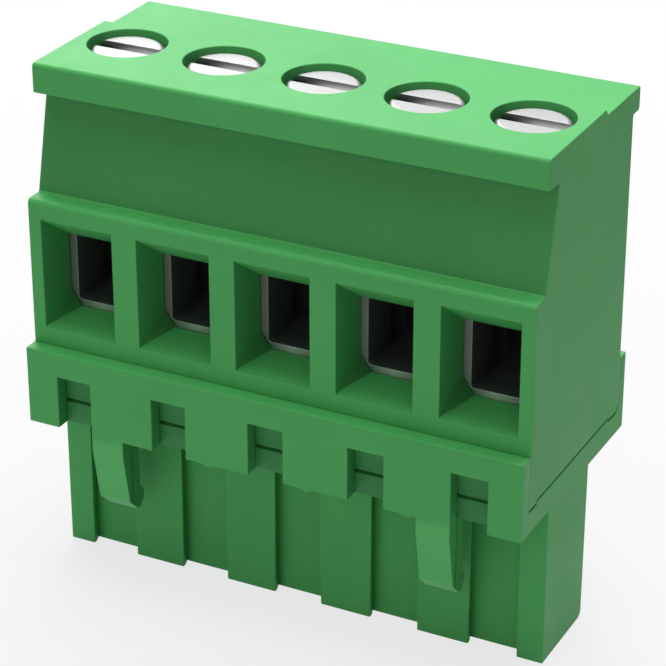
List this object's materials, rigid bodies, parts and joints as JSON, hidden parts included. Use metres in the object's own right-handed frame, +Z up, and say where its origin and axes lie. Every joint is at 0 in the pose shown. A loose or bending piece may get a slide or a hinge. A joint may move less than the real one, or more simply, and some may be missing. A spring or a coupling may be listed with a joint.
{
  "type": "pluggable terminal block",
  "caption": "Pluggable screw terminal block: wires enter at the front, rising cages clamp them as the top screws turn, and the latched plug below fits a pin header.",
  "frame": {"origin": "centre of the footprint at the plug's flat bottom end", "axes": "+Z up from the plug to the screws, -Y the side where the wires enter, +X along the row of poles"},
  "size_m": [0.0254, 0.0122, 0.0257],
  "materials": {
    "housing_green": "moulded polyamide, satin",
    "screw_nickel": "bright nickel plated",
    "cage_brass": "nickel plated, dull",
    "contact_tin": "tin plated copper alloy",
    "spring_steel": "bare stainless spring steel"
  },
  "bodies": {
    "housing": {"upper_housing": "housing_green", "lower_housing": "housing_green", "socket_contact_1": "contact_tin", "socket_contact_2": "contact_tin", "socket_contact_3": "contact_tin", "socket_contact_4": "contact_tin", "socket_contact_5": "contact_tin", "contact_spring_1": "spring_steel", "contact_spring_2": "spring_steel", "contact_spring_3": "spring_steel", "contact_spring_4": "spring_steel", "contact_spring_5": "spring_steel"},
    "screw_1": {"clamp_screw_1": "screw_nickel"},
    "cage_1": {"clamp_cage_1": "cage_brass"},
    "screw_2": {"clamp_screw_2": "screw_nickel"},
    "cage_2": {"clamp_cage_2": "cage_brass"},
    "screw_3": {"clamp_screw_3": "screw_nickel"},
    "cage_3": {"clamp_cage_3": "cage_brass"},
    "screw_4": {"clamp_screw_4": "screw_nickel"},
    "cage_4": {"clamp_cage_4": "cage_brass"},
    "screw_5": {"clamp_screw_5": "screw_nickel"},
    "cage_5": {"clamp_cage_5": "cage_brass"}
  },
  "joints": [
    {"name": "screw_1_turn", "type": "hinge", "parent": "housing", "child": "screw_1", "pos_m": [-0.01016, -0.00015, 0.02542], "axis": [0, 0, -1], "range_deg": [0, 2016]},
    {"name": "cage_1_rise", "type": "slide", "parent": "housing", "child": "cage_1", "axis": [0, 0, 1], "range_m": [0, 0.0028]},
    {"name": "screw_2_turn", "type": "hinge", "parent": "housing", "child": "screw_2", "pos_m": [-0.00508, -0.00015, 0.02542], "axis": [0, 0, -1], "range_deg": [0, 2016]},
    {"name": "cage_2_rise", "type": "slide", "parent": "housing", "child": "cage_2", "axis": [0, 0, 1], "range_m": [0, 0.0028]},
    {"name": "screw_3_turn", "type": "hinge", "parent": "housing", "child": "screw_3", "pos_m": [0, -0.00015, 0.02542], "axis": [0, 0, -1], "range_deg": [0, 2016]},
    {"name": "cage_3_rise", "type": "slide", "parent": "housing", "child": "cage_3", "axis": [0, 0, 1], "range_m": [0, 0.0028]},
    {"name": "screw_4_turn", "type": "hinge", "parent": "housing", "child": "screw_4", "pos_m": [0.00508, -0.00015, 0.02542], "axis": [0, 0, -1], "range_deg": [0, 2016]},
    {"name": "cage_4_rise", "type": "slide", "parent": "housing", "child": "cage_4", "axis": [0, 0, 1], "range_m": [0, 0.0028]},
    {"name": "screw_5_turn", "type": "hinge", "parent": "housing", "child": "screw_5", "pos_m": [0.01016, -0.00015, 0.02542], "axis": [0, 0, -1], "range_deg": [0, 2016]},
    {"name": "cage_5_rise", "type": "slide", "parent": "housing", "child": "cage_5", "axis": [0, 0, 1], "range_m": [0, 0.0028]}
  ],
  "couplings": [
    {"joint": "screw_1_turn", "follows": "cage_1_rise", "rad_per_m": 12566},
    {"joint": "screw_2_turn", "follows": "cage_2_rise", "rad_per_m": 12566},
    {"joint": "screw_3_turn", "follows": "cage_3_rise", "rad_per_m": 12566},
    {"joint": "screw_4_turn", "follows": "cage_4_rise", "rad_per_m": 12566},
    {"joint": "screw_5_turn", "follows": "cage_5_rise", "rad_per_m": 12566}
  ]
}
